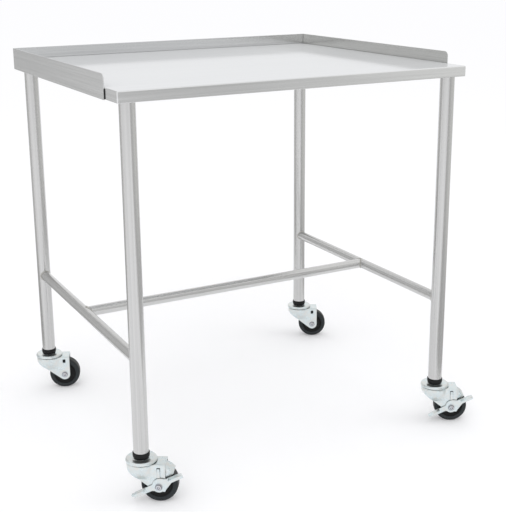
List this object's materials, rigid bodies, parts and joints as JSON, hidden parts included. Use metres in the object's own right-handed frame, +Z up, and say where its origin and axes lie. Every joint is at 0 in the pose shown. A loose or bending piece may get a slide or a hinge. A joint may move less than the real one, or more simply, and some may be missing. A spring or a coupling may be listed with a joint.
{
  "type": "instrument table",
  "caption": "Mobile stainless instrument table: open-front top with low guards at the back and sides, tubular legs with an H-brace, and swivel casters, the front ones with pedal brakes.",
  "frame": {"origin": "on the floor, under the middle of the worktop", "axes": "+Z up, +X to the user's right along the table's long side, -Y towards the open front edge"},
  "size_m": [0.8489, 0.7352, 0.864],
  "materials": {
    "stainless_satin": "satin brushed stainless sheet and tube, horizontal grain on the flat parts and round the tubes",
    "zinc_plate": "bright zinc plated stamped steel, slightly bluish",
    "hard_rubber": "moulded hard rubber wheel, dull",
    "soft_rubber": "black expanding rubber collar, dull",
    "plain_steel": "plain greased steel, hidden"
  },
  "bodies": {
    "table_frame": {"worktop": "stainless_satin", "left_guard": "stainless_satin", "back_guard": "stainless_satin", "right_guard": "stainless_satin", "front_channel": "stainless_satin", "rear_channel": "stainless_satin", "left_brace": "stainless_satin", "right_brace": "stainless_satin", "cross_brace": "stainless_satin", "front_left_leg": "stainless_satin", "front_left_leg_plate": "stainless_satin", "front_right_leg": "stainless_satin", "front_right_leg_plate": "stainless_satin", "rear_left_leg": "stainless_satin", "rear_left_leg_plate": "stainless_satin", "rear_right_leg": "stainless_satin", "rear_right_leg_plate": "stainless_satin", "front_left_stem": "zinc_plate", "front_left_expander": "soft_rubber", "front_left_raceway_cap": "zinc_plate", "front_left_swivel_bearing": "plain_steel", "front_right_stem": "zinc_plate", "front_right_expander": "soft_rubber", "front_right_raceway_cap": "zinc_plate", "front_right_swivel_bearing": "plain_steel", "rear_left_stem": "zinc_plate", "rear_left_expander": "soft_rubber", "rear_left_raceway_cap": "zinc_plate", "rear_left_swivel_bearing": "plain_steel", "rear_right_stem": "zinc_plate", "rear_right_expander": "soft_rubber", "rear_right_raceway_cap": "zinc_plate", "rear_right_swivel_bearing": "plain_steel"},
    "front_left_swivel": {"front_left_fork": "zinc_plate", "front_left_wheel_bushing": "plain_steel", "front_left_axle_bolt": "zinc_plate", "front_left_axle_nut": "zinc_plate"},
    "front_left_roller": {"front_left_wheel": "hard_rubber"},
    "front_left_pedal": {"front_left_brake_lever": "zinc_plate"},
    "front_left_shoe": {"front_left_brake_shoe": "zinc_plate"},
    "front_right_swivel": {"front_right_fork": "zinc_plate", "front_right_wheel_bushing": "plain_steel", "front_right_axle_bolt": "zinc_plate", "front_right_axle_nut": "zinc_plate"},
    "front_right_roller": {"front_right_wheel": "hard_rubber"},
    "front_right_pedal": {"front_right_brake_lever": "zinc_plate"},
    "front_right_shoe": {"front_right_brake_shoe": "zinc_plate"},
    "rear_left_swivel": {"rear_left_fork": "zinc_plate", "rear_left_wheel_bushing": "plain_steel", "rear_left_axle_bolt": "zinc_plate", "rear_left_axle_nut": "zinc_plate"},
    "rear_left_roller": {"rear_left_wheel": "hard_rubber"},
    "rear_right_swivel": {"rear_right_fork": "zinc_plate", "rear_right_wheel_bushing": "plain_steel", "rear_right_axle_bolt": "zinc_plate", "rear_right_axle_nut": "zinc_plate"},
    "rear_right_roller": {"rear_right_wheel": "hard_rubber"}
  },
  "joints": [
    {"name": "front_left_swivel_turn", "type": "hinge", "parent": "table_frame", "child": "front_left_swivel", "pos_m": [-0.3725, -0.318, 0.0855], "axis": [0, 0, 1], "continuous": true},
    {"name": "front_left_wheel_spin", "type": "hinge", "parent": "front_left_swivel", "child": "front_left_roller", "pos_m": [-0.3407, -0.33787, 0.0381], "axis": [0.5299, 0.848, 0], "continuous": true},
    {"name": "front_left_brake_release", "type": "hinge", "parent": "front_left_swivel", "child": "front_left_pedal", "pos_m": [-0.3407, -0.33787, 0.0381], "axis": [0.5299, 0.848, 0], "range_deg": [0, 30]},
    {"name": "front_left_shoe_lift", "type": "hinge", "parent": "front_left_swivel", "child": "front_left_shoe", "pos_m": [-0.33179, -0.34344, 0.0824], "axis": [0.5299, 0.848, 0], "range_deg": [-3, 0]},
    {"name": "front_right_swivel_turn", "type": "hinge", "parent": "table_frame", "child": "front_right_swivel", "pos_m": [0.3725, -0.318, 0.0855], "axis": [0, 0, 1], "continuous": true},
    {"name": "front_right_wheel_spin", "type": "hinge", "parent": "front_right_swivel", "child": "front_right_roller", "pos_m": [0.4053, -0.33618, 0.0381], "axis": [0.4848, 0.8746, 0], "continuous": true},
    {"name": "front_right_brake_release", "type": "hinge", "parent": "front_right_swivel", "child": "front_right_pedal", "pos_m": [0.4053, -0.33618, 0.0381], "axis": [0.4848, 0.8746, 0], "range_deg": [0, 30]},
    {"name": "front_right_shoe_lift", "type": "hinge", "parent": "front_right_swivel", "child": "front_right_shoe", "pos_m": [0.41448, -0.34127, 0.0824], "axis": [0.4848, 0.8746, 0], "range_deg": [-3, 0]},
    {"name": "rear_left_swivel_turn", "type": "hinge", "parent": "table_frame", "child": "rear_left_swivel", "pos_m": [-0.3725, 0.31, 0.0855], "axis": [0, 0, 1], "continuous": true},
    {"name": "rear_left_wheel_spin", "type": "hinge", "parent": "rear_left_swivel", "child": "rear_left_roller", "pos_m": [-0.33749, 0.29656, 0.0381], "axis": [0.3584, 0.9336, 0], "continuous": true},
    {"name": "rear_right_swivel_turn", "type": "hinge", "parent": "table_frame", "child": "rear_right_swivel", "pos_m": [0.3725, 0.31, 0.0855], "axis": [0, 0, 1], "continuous": true},
    {"name": "rear_right_wheel_spin", "type": "hinge", "parent": "rear_right_swivel", "child": "rear_right_roller", "pos_m": [0.4053, 0.29182, 0.0381], "axis": [0.4848, 0.8746, 0], "continuous": true}
  ],
  "couplings": [
    {"joint": "front_left_shoe_lift", "follows": "front_left_brake_release", "ratio": -0.1},
    {"joint": "front_right_shoe_lift", "follows": "front_right_brake_release", "ratio": -0.1}
  ]
}
